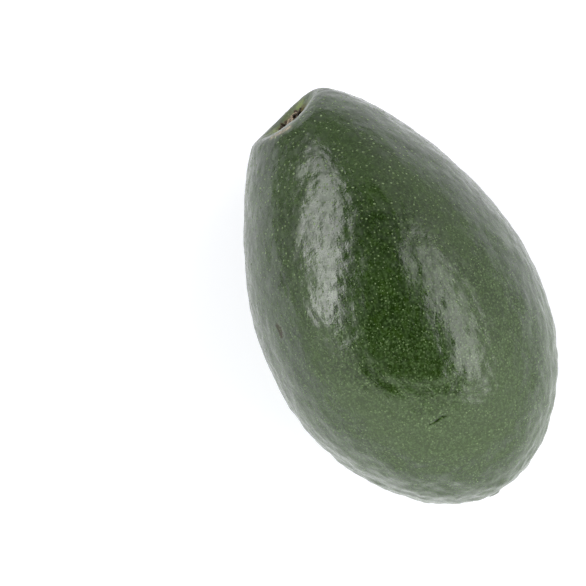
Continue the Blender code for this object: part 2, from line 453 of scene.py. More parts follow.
# %% A ball made ring by ring
def ball(ring_count, around_count):
    """A closed ball of radius 1 as a bmesh: pole, rings, pole, always in the same order."""
    points = [(0.0, 0.0, 1.0)]
    for ring in range(1, ring_count):
        angle = math.pi * ring / ring_count
        for turn in range(around_count):
            way = 2.0 * math.pi * turn / around_count
            points.append((math.sin(angle) * math.cos(way), math.sin(angle) * math.sin(way), math.cos(angle)))
    points.append((0.0, 0.0, -1.0))
    faces = []
    last_ring = len(points) - 1 - around_count
    for turn in range(around_count):
        beside = (turn + 1) % around_count
        faces.append((0, 1 + turn, 1 + beside))
        for start in range(1, last_ring, around_count):
            below = start + around_count
            faces.append((start + turn, below + turn, below + beside, start + beside))
        faces.append((last_ring + turn, len(points) - 1, last_ring + beside))
    mesh = bpy.data.meshes.new("ball")
    mesh.from_pydata(points, [], faces)
    made = bmesh.new()
    made.from_mesh(mesh)
    bpy.data.meshes.remove(mesh)
    return made


# %% Move a ball to the skin's rule
AROUND = 336
# Angles of the rings from the stem, in degrees: crowded at the socket's wall, then even to the tip
SOCKET_RINGS = (1.6, 3.2, 4.8, 6.2, 7.4, 8.3, 8.9, 9.2, 9.4, 9.6, 9.82, 10.1, 10.5)
BODY_RINGS = 266
# Past this angle in radians a point is too far from the stem for its radius to matter
STEM_SIDE = 1.0
SMOOTH_RADIUS = 3.0 * SOCKET_RADIUS

to_tip = 180.0 - SOCKET_RINGS[-1]
rings = [0.0, *SOCKET_RINGS]
rings += [SOCKET_RINGS[-1] + to_tip * i / BODY_RINGS for i in range(1, BODY_RINGS + 1)]
rings = [math.radians(ring) for ring in rings]
bm = ball(len(rings) - 1, AROUND)
stem_radius = {}
for vert in bm.verts:
    ball_angle = math.acos(max(-1.0, min(1.0, vert.co.z)))
    ring = rings[round(ball_angle / math.pi * (len(rings) - 1))]
    around = math.atan2(vert.co.x, vert.co.y)
    stem_radius[vert] = girth(-1.0) * math.sin(ring) if ring < STEM_SIDE else 1.0
    vert.co = skin_point(ring, around)
bm.normal_update()
moves = {}
for vert in bm.verts:
    moves[vert] = vert.normal * lump(vert.co) * step(stem_radius[vert], SOCKET_RADIUS, SMOOTH_RADIUS)
for vert, move in moves.items():
    vert.co += move
print("skin points:", len(bm.verts))

# %% Press it flat underneath and set it where the solid is
ground = min(vert.co.z for vert in bm.verts) + FLAT_DEPTH
for vert in bm.verts:
    vert.co.z = pressed(vert.co.z, ground)
cad_low, cad_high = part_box("fruit")
low = Vector([min(vert.co[axis] for vert in bm.verts) for axis in range(3)])
high = Vector([max(vert.co[axis] for vert in bm.verts) for axis in range(3)])
to_ground = (cad_low + cad_high - low - high) / 2.0
to_ground.z = 0.0
bmesh.ops.translate(bm, verts=bm.verts, vec=to_ground)
stem_middle = body_point(0.0, 0.0) + to_ground - Vector((0.0, 0.0, ground))
box_gap = (high - low) - (cad_high - cad_low)
print("its box differs from the solid's by", [round(gap * 1e6) for gap in box_gap], "um")

# %% [markdown]
# ## Marks in the skin
# A few marks single this fruit out: a short dark crease near the blossom end, a small brown scrape
# near its left side, the dry pale edge of the dimple and two yellow spots at its ends. Each is found
# on the skin with a ray through its pixels in the photo. The mesh is made finer round the crease and
# the scrape, because a crease is narrower than the distance between two rings.

# %% Find the marks
CREASE_PIXELS = ((419.0, 428.5), (427.0, 425.5), (435.0, 421.5), (441.0, 417.0), (447.5, 414.5))
SCRAPE_PIXELS = ((278.0, 327.0), (280.5, 331.0), (281.5, 336.0))
LIP_PIXELS = ((272.0, 137.2), (277.5, 134.2), (283.0, 131.0), (289.0, 127.3))
YELLOW_PIXELS = ((275.0, 131.6), (300.0, 105.0))

skin_tree = BVHTree.FromBMesh(bm)


def on_skin(pixels):
    """The points of the skin that the camera sees at these pixels of the photo."""
    return [skin_tree.ray_cast(camera_place, photo_ray(*pixel))[0] for pixel in pixels]


crease = on_skin(CREASE_PIXELS)
scrape = on_skin(SCRAPE_PIXELS)
lip = on_skin(LIP_PIXELS)
yellow = on_skin(YELLOW_PIXELS)
print("dry lip lies", [round((p - stem_middle).length * 1000.0, 1) for p in lip], "mm from the stem")

# %% Cut finer faces round the crease and the scrape
FINE_REACH = 0.0016
FINE_CUTS = 2


def near_line(point, line):
    """The distance from a point to a line of points, and how far along the line it lies, from 0 to 1."""
    best = (1.0, 0.0)
    for i in range(len(line) - 1):
        leg = line[i + 1] - line[i]
        share = max(0.0, min(1.0, (point - line[i]).dot(leg) / leg.length_squared))
        gap = (point - line[i] - leg * share).length
        if gap < best[0]:
            best = (gap, (i + share) / (len(line) - 1))
    return best


close = [v for v in bm.verts if min(near_line(v.co, crease)[0], near_line(v.co, scrape)[0]) < FINE_REACH]
bm.edges.index_update()
edges = sorted({edge for vert in close for edge in vert.link_edges}, key=lambda edge: edge.index)
bmesh.ops.subdivide_edges(bm, edges=edges, cuts=FINE_CUTS, use_grid_fill=True)
bm.normal_update()
print("points near the marks:", len(close), "skin points now:", len(bm.verts))

# %% [markdown]
# Later steps need to know where they are on the skin, so numbers are written on its points: how strong
# each mark is there, how far it is to the stem and to the tip, and how much grown relief is allowed.
# There is none in the socket, on the scar or on the flat spot. The crease and the scrape also sink in.

# %% Write the distances and the relief's limits on the points
# The stem's distance is measured on this end of the fruit alone, and both stop where none is needed
STEM_END = -0.02
FAR_FROM_STEM = 0.03
FAR_FROM_TIP = 0.01
# The relief grows from none to full between a radius or a height and these
STEM_SMOOTH = 1.8 * SOCKET_RADIUS
SCAR_SMOOTH = 2.5 * SCAR_RADIUS
FLAT_HEIGHT = 0.00002
FREE_HEIGHT = 0.0006

names = ("crease", "scrape", "lip", "yellow", "stem_distance", "tip_distance", "grown")
for name in names:
    bm.verts.layers.float.new(name)
layer = {name: bm.verts.layers.float[name] for name in names}
tip_middle = max((vert.co for vert in bm.verts), key=lambda co: co.x).copy()
for vert in bm.verts:
    from_stem = vert.co - stem_middle
    off_line = (from_stem - stem_way * from_stem.dot(stem_way)).length
    radius = off_line if vert.co.x < STEM_END else 1.0
    vert[layer["stem_distance"]] = min(radius, FAR_FROM_STEM)
    vert[layer["tip_distance"]] = min((vert.co - tip_middle).length, FAR_FROM_TIP)
    grown = step(radius, SOCKET_RADIUS, STEM_SMOOTH) * step(vert.co.z, FLAT_HEIGHT, FREE_HEIGHT)
    vert[layer["grown"]] = grown
    vert[layer["grown"]] *= step(vert[layer["tip_distance"]], SCAR_RADIUS, SCAR_SMOOTH)
print("the tip lies at", [round(c * 1000.0, 1) for c in tip_middle], "mm")

# %% Write the marks on the points and press in the crease and the scrape
CREASE_DEPTH = 0.00028
CREASE_WIDTH = 0.00028
# The crease tapers over these shares of its length
CREASE_START = 0.7
CREASE_END = 0.16
SCRAPE_WIDTH = 0.00085
SCRAPE_DEPTH = 0.00012
SCRAPE_RAGGED = 0.0005
LIP_WIDTH = 0.0006
YELLOW_WIDTH = 0.0015
YELLOW_RAGGED = 0.0012
LEAST_MARK = 0.01


def hill(gap, width):
    """A soft hill: 1 in the middle of a mark, and nearly 0 at twice its width."""
    return math.exp(-((gap / width) ** 2))


mark_moves = {}
for vert in bm.verts:
    gap, share = near_line(vert.co, crease)
    taper = step(share, 0.0, CREASE_START) * step(1.0 - share, 0.0, CREASE_END)
    vert[layer["crease"]] = taper * hill(gap, CREASE_WIDTH)
    ragged = 1.0 + 0.5 * noise.noise(vert.co / SCRAPE_RAGGED)
    vert[layer["scrape"]] = hill(near_line(vert.co, scrape)[0] * ragged, SCRAPE_WIDTH)
    vert[layer["lip"]] = hill(near_line(vert.co, lip)[0], LIP_WIDTH)
    ragged = 1.0 + 0.5 * noise.noise(vert.co / YELLOW_RAGGED)
    vert[layer["yellow"]] = hill(min((vert.co - middle).length for middle in yellow) * ragged, YELLOW_WIDTH)
    if max(vert[layer["crease"]], vert[layer["scrape"]]) > LEAST_MARK:
        deep = CREASE_DEPTH * vert[layer["crease"]] + SCRAPE_DEPTH * vert[layer["scrape"]]
        mark_moves[vert] = vert.normal * -deep
for vert, move in mark_moves.items():
    vert.co += move
print("points pressed in:", len(mark_moves))

# %% Make the skin an object
skin_mesh = bpy.data.meshes.new("avocado_skin")
bm.to_mesh(skin_mesh)
bm.free()
skin_mesh.shade_smooth()
skin = bpy.data.objects.new("avocado_skin", skin_mesh)
bpy.context.scene.collection.objects.link(skin)
print("skin faces:", len(skin_mesh.polygons))

# %% [markdown]
# ## The skin's relief, with Geometry Nodes
# A green avocado's skin is leathery. It has low streaks drawn out along the fruit, strongest near the
# stem, wider soft furrows that are deepest on the flanks near the blossom end, and fine pebbles all
# over. Each is a noise whose scale is its real spacing, and the sum moves every point along its
# normal. A node tree is the short way, because the same noise can be tuned by its named inputs.

# %% Two helpers for Geometry Nodes
def new_tree(name, sizes):
    """An empty geometry tree with named number inputs, and its input node."""
    tree = bpy.data.node_groups.new(name, "GeometryNodeTree")
    tree.interface.new_socket("Geometry", in_out="INPUT", socket_type="NodeSocketGeometry")
    for title, value in sizes.items():
        kind = "NodeSocketInt" if isinstance(value, int) else "NodeSocketFloat"
        tree.interface.new_socket(title, in_out="INPUT", socket_type=kind)
    tree.interface.new_socket("Geometry", in_out="OUTPUT", socket_type="NodeSocketGeometry")
    return tree, add_node(tree, "NodeGroupInput")


def run_tree(piece, tree, sizes):
    """Runs a tree on a piece with these sizes and keeps the result as a plain mesh."""
    modifier = piece.modifiers.new(tree.name, "NODES")
    modifier.node_group = tree
    for item in tree.interface.items_tree:
        if item.name in sizes:
            modifier[item.identifier] = sizes[item.name]
    graph = bpy.context.evaluated_depsgraph_get()
    mesh = bpy.data.meshes.new_from_object(piece.evaluated_get(graph))
    piece.modifiers.remove(modifier)
    piece.data = mesh


# %% Sizes of the relief, and its two rules
RELIEF = {
    "Streak Width": 0.0024,
    "Streak Length": 0.0044,
    "Streak Height": 0.00005,
    "Furrow Spacing": 0.0052,
    "Furrow Height": 0.00042,
    "Pebble Spacing": 0.0015,
    "Pebble Height": 0.00002,
}
NOISE_LOW = 0.25
NOISE_HIGH = 0.75

relief, asked = new_tree("grown_relief", RELIEF)
place = add_node(relief, "GeometryNodeInputPosition").outputs[0]


def per_metre(size):
    """How many of a pattern's features fit in a metre, from the input with their real size."""
    return add_node(relief, "ShaderNodeMath", {0: 1.0, 1: asked.outputs[size]}, operation="DIVIDE").outputs[0]


def raised(vector, detail, height, share):
    """A noise at this place, from -1 to 1, times its height and the share of it that this end has."""
    pattern = add_node(relief, "ShaderNodeTexNoise", {
        "Vector": vector,
        "Scale": 1.0,
        "Detail": detail,
        "Roughness": 0.5,
    }).outputs[0]
    centred = add_node(relief, "ShaderNodeMapRange", {
        0: pattern,
        1: NOISE_LOW,
        2: NOISE_HIGH,
        3: -1.0,
        4: 1.0,
    }, clamp=False).outputs[0]
    tall = add_node(relief, "ShaderNodeMath", {0: centred, 1: asked.outputs[height]}, operation="MULTIPLY")
    return add_node(relief, "ShaderNodeMath", {0: tall.outputs[0], 1: share}, operation="MULTIPLY").outputs[0]


# %% Where the streaks and the furrows are strong
STEM_STATION = -0.045
BLOSSOM_STATION = 0.045
STREAKS_AT_BLOSSOM = 0.45
FURROWS_AT_STEM = 0.30
FLANK_HEIGHT = 0.030
BACK_HEIGHT = 0.058
FURROWS_ON_BACK = 0.34

parts = add_node(relief, "ShaderNodeSeparateXYZ", {0: place})
to_blossom = add_node(relief, "ShaderNodeMapRange", {
    0: parts.outputs[0],
    1: STEM_STATION,
    2: BLOSSOM_STATION,
}, interpolation_type="SMOOTHSTEP").outputs[0]
streak_share = add_node(relief, "ShaderNodeMapRange", {
    0: to_blossom,
    3: 1.0,
    4: STREAKS_AT_BLOSSOM,
}).outputs[0]
by_end = add_node(relief, "ShaderNodeMapRange", {0: to_blossom, 3: FURROWS_AT_STEM, 4: 1.0}).outputs[0]
on_flank = add_node(relief, "ShaderNodeMapRange", {
    0: parts.outputs[2],
    1: FLANK_HEIGHT,
    2: BACK_HEIGHT,
    3: 1.0,
    4: FURROWS_ON_BACK,
}).outputs[0]
furrow_share = add_node(relief, "ShaderNodeMath", {0: by_end, 1: on_flank}, operation="MULTIPLY").outputs[0]
print("furrows on the fruit's back are", FURROWS_ON_BACK, "as deep as on its flanks")

# %% Build the relief tree and run it
STREAK_DETAIL = 1.5
SOFT_DETAIL = 1.0

streak_scale = add_node(relief, "ShaderNodeCombineXYZ", {
    0: per_metre("Streak Length"),
    1: per_metre("Streak Width"),
    2: per_metre("Streak Width"),
}).outputs[0]
streak_place = add_node(relief, "ShaderNodeVectorMath", {0: place, 1: streak_scale}, operation="MULTIPLY")
furrow_place = add_node(relief, "ShaderNodeVectorMath", {0: place, "Scale": per_metre("Furrow Spacing")},
                        operation="SCALE")
pebble_place = add_node(relief, "ShaderNodeVectorMath", {0: place, "Scale": per_metre("Pebble Spacing")},
                        operation="SCALE")
streaks = raised(streak_place.outputs[0], STREAK_DETAIL, "Streak Height", streak_share)
furrows = raised(furrow_place.outputs[0], SOFT_DETAIL, "Furrow Height", furrow_share)
pebbles = raised(pebble_place.outputs[0], SOFT_DETAIL, "Pebble Height", 1.0)
both = add_node(relief, "ShaderNodeMath", {0: streaks, 1: furrows}, operation="ADD")
total = add_node(relief, "ShaderNodeMath", {0: both.outputs[0], 1: pebbles}, operation="ADD")
grown = add_node(relief, "GeometryNodeInputNamedAttribute", {"Name": "grown"}, data_type="FLOAT")
total = add_node(relief, "ShaderNodeMath", {0: total.outputs[0], 1: grown.outputs[0]}, operation="MULTIPLY")
normal = add_node(relief, "GeometryNodeInputNormal").outputs[0]
push = add_node(relief, "ShaderNodeVectorMath", {0: normal, "Scale": total.outputs[0]}, operation="SCALE")
moved = add_node(relief, "GeometryNodeSetPosition", {
    "Geometry": asked.outputs["Geometry"],
    "Offset": push.outputs[0],
})
add_node(relief, "NodeGroupOutput", {"Geometry": moved.outputs[0]})
run_tree(skin, relief, RELIEF)
heights = [abs(a.co.z - b.co.z) for a, b in zip(skin.data.vertices, skin_mesh.vertices)]
print("largest move up or down by the relief:", round(max(heights) * 1000.0, 3), "mm")

# %% [markdown]
# ## The skin's finish: waxy avocado rind
# The rind is dark green under a thin natural wax. The colour lies deep and uneven, so it is built in
# layers: each lays a close colour over what is under it, where a share from 0 to 1 says so. A share
# comes from a noise whose features have a real size, from the place along the fruit, or from a
# distance or a mark that was written on the skin's points.

# %% Helpers for the layers of a material
rind = bpy.data.materials.new("waxy_avocado_rind")
rind.use_nodes = True
nodes = rind.node_tree
rind_shader = nodes.nodes["Principled BSDF"]
spot = add_node(nodes, "ShaderNodeTexCoord").outputs["Object"]


def share_of(value, low, high, at_low=0.0, at_high=1.0):
    """A share with soft borders: it goes smoothly from one amount to the other between two values."""
    return add_node(nodes, "ShaderNodeMapRange", {
        0: value,
        1: low,
        2: high,
        3: at_low,
        4: at_high,
    }, interpolation_type="SMOOTHSTEP").outputs[0]


def patches(size, low, high, least=0.0, most=1.0, detail=2.0, roughness=0.5, place=None):
    """A share that comes and goes in natural patches of this size: a noise that counts from low to high."""
    pattern = add_node(nodes, "ShaderNodeTexNoise", {
        "Vector": place or spot,
        "Scale": 1.0 / size,
        "Detail": detail,
        "Roughness": roughness,
    }).outputs[0]
    return share_of(pattern, low, high, least, most)


def where_all(*shares):
    """The share of a spot where all of these shares hold together: their product."""
    together = shares[0]
    for share in shares[1:]:
        together = add_node(nodes, "ShaderNodeMath", {0: together, 1: share}, operation="MULTIPLY").outputs[0]
    return together


def laid_over(under, colour, *shares):
    """A colour laid over what is under it, where all of these shares hold together."""
    under = linear(under) if isinstance(under, str) else under
    inputs = {0: where_all(*shares), 6: under, 7: linear(colour)}
    return add_node(nodes, "ShaderNodeMix", inputs, data_type="RGBA").outputs[2]


def bumped(size, height, under=None, detail=1.0, roughness=0.5, place=None, strength=1.0):
    """A fine bump whose features have this size and height, on top of another bump if there is one."""
    pattern = add_node(nodes, "ShaderNodeTexNoise", {
        "Vector": place or spot,
        "Scale": 1.0 / size,
        "Detail": detail,
        "Roughness": roughness,
    }).outputs[0]
    inputs = {"Strength": strength, "Distance": height, "Height": pattern}
    if under:
        inputs["Normal"] = under
    return add_node(nodes, "ShaderNodeBump", inputs).outputs[0]


# %% Read what was written on the skin's points
on_points = {}
for name in ("stem_distance", "tip_distance", "crease", "scrape", "lip", "yellow"):
    on_points[name] = add_node(nodes, "ShaderNodeAttribute", attribute_name=name).outputs["Fac"]
along_fruit = add_node(nodes, "ShaderNodeSeparateXYZ", {0: spot}).outputs[0]
print("read from the points:", ", ".join(on_points))

# %% The greens: clouds, drawn-out streaks and a paler blossom end
CLOUD_SIZE = 0.0085
STREAK_SIZE = 0.0013
STREAK_STRETCH = (0.62, 1.0, 1.0)
MIDDLE_STATION = 0.000

colour = laid_over("#102100", "#192C03", patches(CLOUD_SIZE, 0.36, 0.66, detail=3.0))
drawn_out = add_node(nodes, "ShaderNodeVectorMath", {0: spot, 1: STREAK_STRETCH}, operation="MULTIPLY")
drawn_out = drawn_out.outputs[0]
streak = patches(STREAK_SIZE, 0.46, 0.70, 0.0, 0.6, roughness=0.6, place=drawn_out)
colour = laid_over(colour, "#253908", streak)
colour = laid_over(colour, "#263908", share_of(along_fruit, MIDDLE_STATION, BLOSSOM_STATION, 0.0, 0.6))
print("the greens repeat every", [round(size * 1000.0, 1) for size in (CLOUD_SIZE, STREAK_SIZE)], "mm")

# %% [markdown]
# Round the stem the rind turns yellow-green in patches, then corky brown with dark specks, and the
# socket is painted nearly black as the shade in that recess. The radii are measured from the stem,
# and give the two borders of a share.

# %% The colours round the stem
YELLOW_GREEN_RADII = (0.0062, 0.0105)
CORK_RADII = (0.0046, 0.0062)
SPECK_RADII = (0.0060, 0.0088)
SOCKET_SHADE_RADII = (0.0040, 0.0046)
YELLOW_GREEN_SIZE = 0.0035
CORK_SIZE = 0.0012
SPECK_SIZE = 0.0007

stem_distance = on_points["stem_distance"]
near_stem = share_of(stem_distance, *YELLOW_GREEN_RADII, 1.0, 0.0)
colour = laid_over(colour, "#4F5A26", near_stem, patches(YELLOW_GREEN_SIZE, 0.42, 0.62, 0.10, 0.6))
colour = laid_over(colour, "#66742C", on_points["yellow"])
corky = share_of(stem_distance, *CORK_RADII, 1.0, 0.0)
corky = where_all(corky, patches(CORK_SIZE, 0.35, 0.6, 0.35, 1.0, detail=3.0))
colour = laid_over(colour, "#665A3C", corky)
speckled = share_of(stem_distance, *SPECK_RADII, 1.0, 0.0)
colour = laid_over(colour, "#38361A", speckled, patches(SPECK_SIZE, 0.52, 0.62, 0.0, 0.8))
# Painted shade: the socket is darkened nearly to black, as the shade in the recess under the button.
colour = laid_over(colour, "#1A150B", share_of(stem_distance, *SOCKET_SHADE_RADII, 1.0, 0.0))
print("the cork reaches", round(CORK_RADII[1] * 1000.0, 1), "mm from the stem")

# %% [markdown]
# The marks have colours of their own, and the crease has painted shade. The dimple's dry edge is pale,
# the crease is painted nearly black as the shade in it, the flower's scar is a ring of brown cork round
# a dark middle, and the scrape is a dark dried brown.

# %% The colours of the marks
LIP_SIZE = 0.0009
TIP_CORK_SIZE = 0.0006
TIP_CORK_RADII = (0.0010, 0.0018)
TIP_MIDDLE_RADII = (0.0002, 0.0007)

colour = laid_over(colour, "#94806A", on_points["lip"], patches(LIP_SIZE, 0.36, 0.56, 0.3, 1.0, detail=3.0))
# Painted shade: the crease is darkened nearly to black where its shade falls.
colour = laid_over(colour, "#0C1406", share_of(on_points["crease"], 0.05, 0.90, 0.0, 0.85))
tip_distance = on_points["tip_distance"]
tip_cork = share_of(tip_distance, *TIP_CORK_RADII, 1.0, 0.0)
tip_cork = where_all(tip_cork, patches(TIP_CORK_SIZE, 0.35, 0.6, 0.55, 1.0, detail=3.0))
colour = laid_over(colour, "#4C4224", tip_cork)
colour = laid_over(colour, "#1A160A", share_of(tip_distance, *TIP_MIDDLE_RADII, 1.0, 0.0))
scraped = share_of(on_points["scrape"], 0.25, 0.6)
colour = laid_over(colour, "#24190C", scraped)
print("the scar's cork is", round(2000.0 * TIP_CORK_RADII[1], 1), "mm wide")

# %% [markdown]
# Between its larger dots the rind is full of much finer ones. They are too small to be shapes, so they
# are colour: round flecks from Voronoi cells, each of its own strength, and a frost of paler green
# between them. Both are weak near the stem and strong near the blossom end.

# %% The fine flecks and the frost
FLECK_SPACING = 0.00068
FLECK_FIELD_SIZE = 0.0045
FROST_SIZE = 0.00062
FLECK_STATIONS = (-0.030, 0.040)

cells = add_node(nodes, "ShaderNodeTexVoronoi", {
    "Vector": spot,
    "Scale": 1.0 / FLECK_SPACING,
    "Randomness": 1.0,
})
own_strength = add_node(nodes, "ShaderNodeSeparateColor", {0: cells.outputs["Color"]}).outputs[0]
fleck = where_all(
    share_of(cells.outputs["Distance"], 0.08, 0.50, 1.0, 0.0),
    share_of(own_strength, 0.00, 0.90, 0.05, 1.0),
    patches(FLECK_FIELD_SIZE, 0.35, 0.65, 0.35, 1.0),
    share_of(along_fruit, *FLECK_STATIONS, 0.24, 1.0),
)
colour = laid_over(colour, "#70835C", fleck)
frost = patches(FROST_SIZE, 0.46, 0.66, roughness=0.6)
colour = laid_over(colour, "#3E522E", frost, share_of(along_fruit, *FLECK_STATIONS, 0.36, 0.85))
nodes.links.new(colour, rind_shader.inputs["Base Color"])
print("nodes in the rind's colour:", len(nodes.nodes))

# %% [markdown]
# The wax is a clear coat. It gives the grey-green veil where the tent is reflected, and leaves the
# colour pure where the dark opening is. Round the stem it is worn and dull, and so are cork and the
# scrape. Pebbles, pores and grain that are too small for the mesh are bumps, each on top of the last.

# %% The wax, its dull places and the fine bumps
WAX_IOR = 1.45
WAX_ROUGHNESS = 0.16
RIND_IOR = 1.5
GLOSS_SIZE = 0.0022
RIND_ROUGHNESS = (0.22, 0.32)
DULL_RADII = (0.0080, 0.0170)
WAX_WEIGHT = (0.30, 0.02)
RIND_SPECULAR = (0.50, 0.26)
PEBBLE_SIZE = 0.0022
PEBBLE_HEIGHT = 0.00011
PORE_SIZE = 0.00100
PORE_HEIGHT = 0.00007
GRAIN_SIZE = 0.00042
GRAIN_HEIGHT = 0.00003

gloss = patches(GLOSS_SIZE, 0.30, 0.70, *RIND_ROUGHNESS, detail=3.0)
corky = add_node(nodes, "ShaderNodeMath", {0: corky, 1: tip_cork}, operation="MAXIMUM").outputs[0]
for share, rougher in ((corky, 0.5), (scraped, 0.5), (near_stem, 0.20)):
    added = add_node(nodes, "ShaderNodeMath", {0: share, 1: rougher}, operation="MULTIPLY").outputs[0]
    gloss = add_node(nodes, "ShaderNodeMath", {0: gloss, 1: added}, operation="ADD").outputs[0]
nodes.links.new(gloss, rind_shader.inputs["Roughness"])
dull = share_of(stem_distance, *DULL_RADII, 1.0, 0.0)
nodes.links.new(share_of(dull, 0.0, 1.0, *WAX_WEIGHT), rind_shader.inputs["Coat Weight"])
nodes.links.new(share_of(dull, 0.0, 1.0, *RIND_SPECULAR), rind_shader.inputs["Specular IOR Level"])
pebble_cells = add_node(nodes, "ShaderNodeTexVoronoi", {
    "Vector": drawn_out,
    "Scale": 1.0 / PEBBLE_SIZE,
    "Smoothness": 0.5,
}, feature="SMOOTH_F1")
pebble = add_node(nodes, "ShaderNodeBump", {
    "Distance": PEBBLE_HEIGHT,
    "Height": pebble_cells.outputs["Distance"],
}, invert=True)
pore = bumped(PORE_SIZE, PORE_HEIGHT, pebble.outputs[0], detail=1.5, place=drawn_out)
grain = bumped(GRAIN_SIZE, GRAIN_HEIGHT, pore)
nodes.links.new(grain, rind_shader.inputs["Normal"])
nodes.links.new(grain, rind_shader.inputs["Coat Normal"])
rind_shader.inputs["IOR"].default_value = RIND_IOR
rind_shader.inputs["Coat Roughness"].default_value = WAX_ROUGHNESS
rind_shader.inputs["Coat IOR"].default_value = WAX_IOR
skin.data.materials.clear()
skin.data.materials.append(rind)
print("nodes in the whole rind:", len(nodes.nodes))

# %% [markdown]
# ## The lenticels, with Geometry Nodes
# Lenticels are the pale dots through which the fruit breathes. They are few and large near the stem,
# and many and small near the blossom end. Points are spread over the finished skin with a least
# distance, and each gets a low round lens of twenty faces, turned to the skin and of its own size.
# The dots are thin cork: a little paler and less glossy than the wax round them.

# %% The lenticels' cork
CORK_PATCH_SIZE = 0.0016

cork = bpy.data.materials.new("pale_lenticel_cork")
cork.use_nodes = True
nodes = cork.node_tree
spot = add_node(nodes, "ShaderNodeTexCoord").outputs["Object"]
cork_shader = nodes.nodes["Principled BSDF"]
tint = laid_over("#46552F", "#6E7E5A", patches(CORK_PATCH_SIZE, 0.35, 0.65))
nodes.links.new(tint, cork_shader.inputs["Base Color"])
cork_shader.inputs["Roughness"].default_value = 0.42
cork_shader.inputs["Specular IOR Level"].default_value = 0.40
print("nodes in the cork:", len(nodes.nodes))

# %% Spread points over the skin
LENTICELS = {
    "Least Distance": 0.00095,
    "Dots In Square Metre": 560000.0,
    "Lens Radius": 0.00036,
    "Lens Height": 0.00004,
    "Blossom Share": 0.46,
    "Seed": 7,
}
CROWDING_FROM = -0.05
CROWDING_TO = 0.03
STEM_CROWDING = 0.60

dots, asked = new_tree("lenticel_spread", LENTICELS)
where = add_node(dots, "GeometryNodeInputPosition").outputs[0]
parts = add_node(dots, "ShaderNodeSeparateXYZ", {0: where})
crowding = add_node(dots, "ShaderNodeMapRange", {
    0: parts.outputs[0],
    1: CROWDING_FROM,
    2: CROWDING_TO,
    3: STEM_CROWDING,
    4: 1.0,
}).outputs[0]
grown = add_node(dots, "GeometryNodeInputNamedAttribute", {"Name": "grown"}, data_type="FLOAT").outputs[0]
crowding = add_node(dots, "ShaderNodeMath", {0: crowding, 1: grown}, operation="MULTIPLY").outputs[0]
spread = add_node(dots, "GeometryNodeDistributePointsOnFaces", {
    "Mesh": asked.outputs["Geometry"],
    "Distance Min": asked.outputs["Least Distance"],
    "Density Max": asked.outputs["Dots In Square Metre"],
    "Density Factor": crowding,
    "Seed": asked.outputs["Seed"],
}, distribute_method="POISSON")
print("at most", LENTICELS["Dots In Square Metre"] / 1e6, "dots in a square millimetre")

# %% Put a small lens on each point and run the tree
SMALLEST_LENS = (0.45, 0.45, 0.6)
LARGEST_LENS = (1.30, 1.10, 1.2)
SHRINK_FROM = -0.045
SHRINK_TO = 0.02

lens_ball = add_node(dots, "GeometryNodeMeshIcoSphere", {"Subdivisions": 1, "Radius": 1.0})
lens_size = add_node(dots, "ShaderNodeCombineXYZ", {
    0: asked.outputs["Lens Radius"],
    1: asked.outputs["Lens Radius"],
    2: asked.outputs["Lens Height"],
}).outputs[0]
lens = add_node(dots, "GeometryNodeTransform", {"Geometry": lens_ball.outputs["Mesh"], "Scale": lens_size})
own_size = add_node(dots, "FunctionNodeRandomValue", {
    0: SMALLEST_LENS,
    1: LARGEST_LENS,
    "Seed": asked.outputs["Seed"],
}, data_type="FLOAT_VECTOR").outputs[0]
smaller = add_node(dots, "ShaderNodeMapRange", {
    0: parts.outputs[0],
    1: SHRINK_FROM,
    2: SHRINK_TO,
    3: 1.0,
    4: asked.outputs["Blossom Share"],
}).outputs[0]
lens_scale = add_node(dots, "ShaderNodeVectorMath", {0: own_size, "Scale": smaller}, operation="SCALE")
placed = add_node(dots, "GeometryNodeInstanceOnPoints", {
    "Points": spread.outputs["Points"],
    "Instance": lens.outputs[0],
    "Rotation": spread.outputs["Rotation"],
    "Scale": lens_scale.outputs[0],
})
real = add_node(dots, "GeometryNodeRealizeInstances", {"Geometry": placed.outputs[0]})
finished = add_node(dots, "GeometryNodeSetMaterial", {"Geometry": real.outputs[0], "Material": cork})
add_node(dots, "NodeGroupOutput", {"Geometry": finished.outputs[0]})

lenticels = bpy.data.objects.new("lenticels", skin.data.copy())
bpy.context.scene.collection.objects.link(lenticels)
run_tree(lenticels, dots, LENTICELS)
# The copy of the skin that the tree ran on left its own material behind, so only the cork is kept
lenticels.data.materials.clear()
lenticels.data.materials.append(cork)
for face in lenticels.data.polygons:
    face.material_index = 0
lenticels.data.shade_smooth()
print("lenticel triangles:", sum(len(face.vertices) - 2 for face in lenticels.data.polygons))

# %% [markdown]
# ## The stem button
# Where the stem broke off, a short woody plug is left, dry and wrinkled, with a ragged collar of dead
# scales round it. The plug is a flattened ball whose face gets radial ridges, wrinkles and a small pit
# from a rule. The scales are thin curled sheets, and Solidify gives them their paper thickness.

# %% Sizes and place of the stem button
BUTTON_SINK = 0.0056
BUTTON_LEAN = math.radians(6.0)
CORE_RADIUS = 0.0027
CORE_HEIGHT = 0.0026
CORE_DOME = 0.0004

button_top = stem_middle - stem_way * BUTTON_SINK
button_frame = Matrix.Translation(button_top) @ stem_way.to_track_quat("Z", "Y").to_matrix().to_4x4()
button_frame = button_frame @ Matrix.Rotation(BUTTON_LEAN, 4, "Y")
print("the button's top lies at", [round(c * 1000.0, 1) for c in button_top], "mm")

# %% Make the plug
PLUG_RINGS = 84
PLUG_AROUND = 132
RIDGES = 7.0
FOLDS = 9.0
TOP_RELIEF = 0.00016
SIDE_RELIEF = 0.00011
PIT_DEPTH = 0.00035
PIT_SHARE = 0.30
PLUG_EASE = 0.00012
GRIT_HEIGHT = 0.00005
GRIT_SIZE = 0.00020

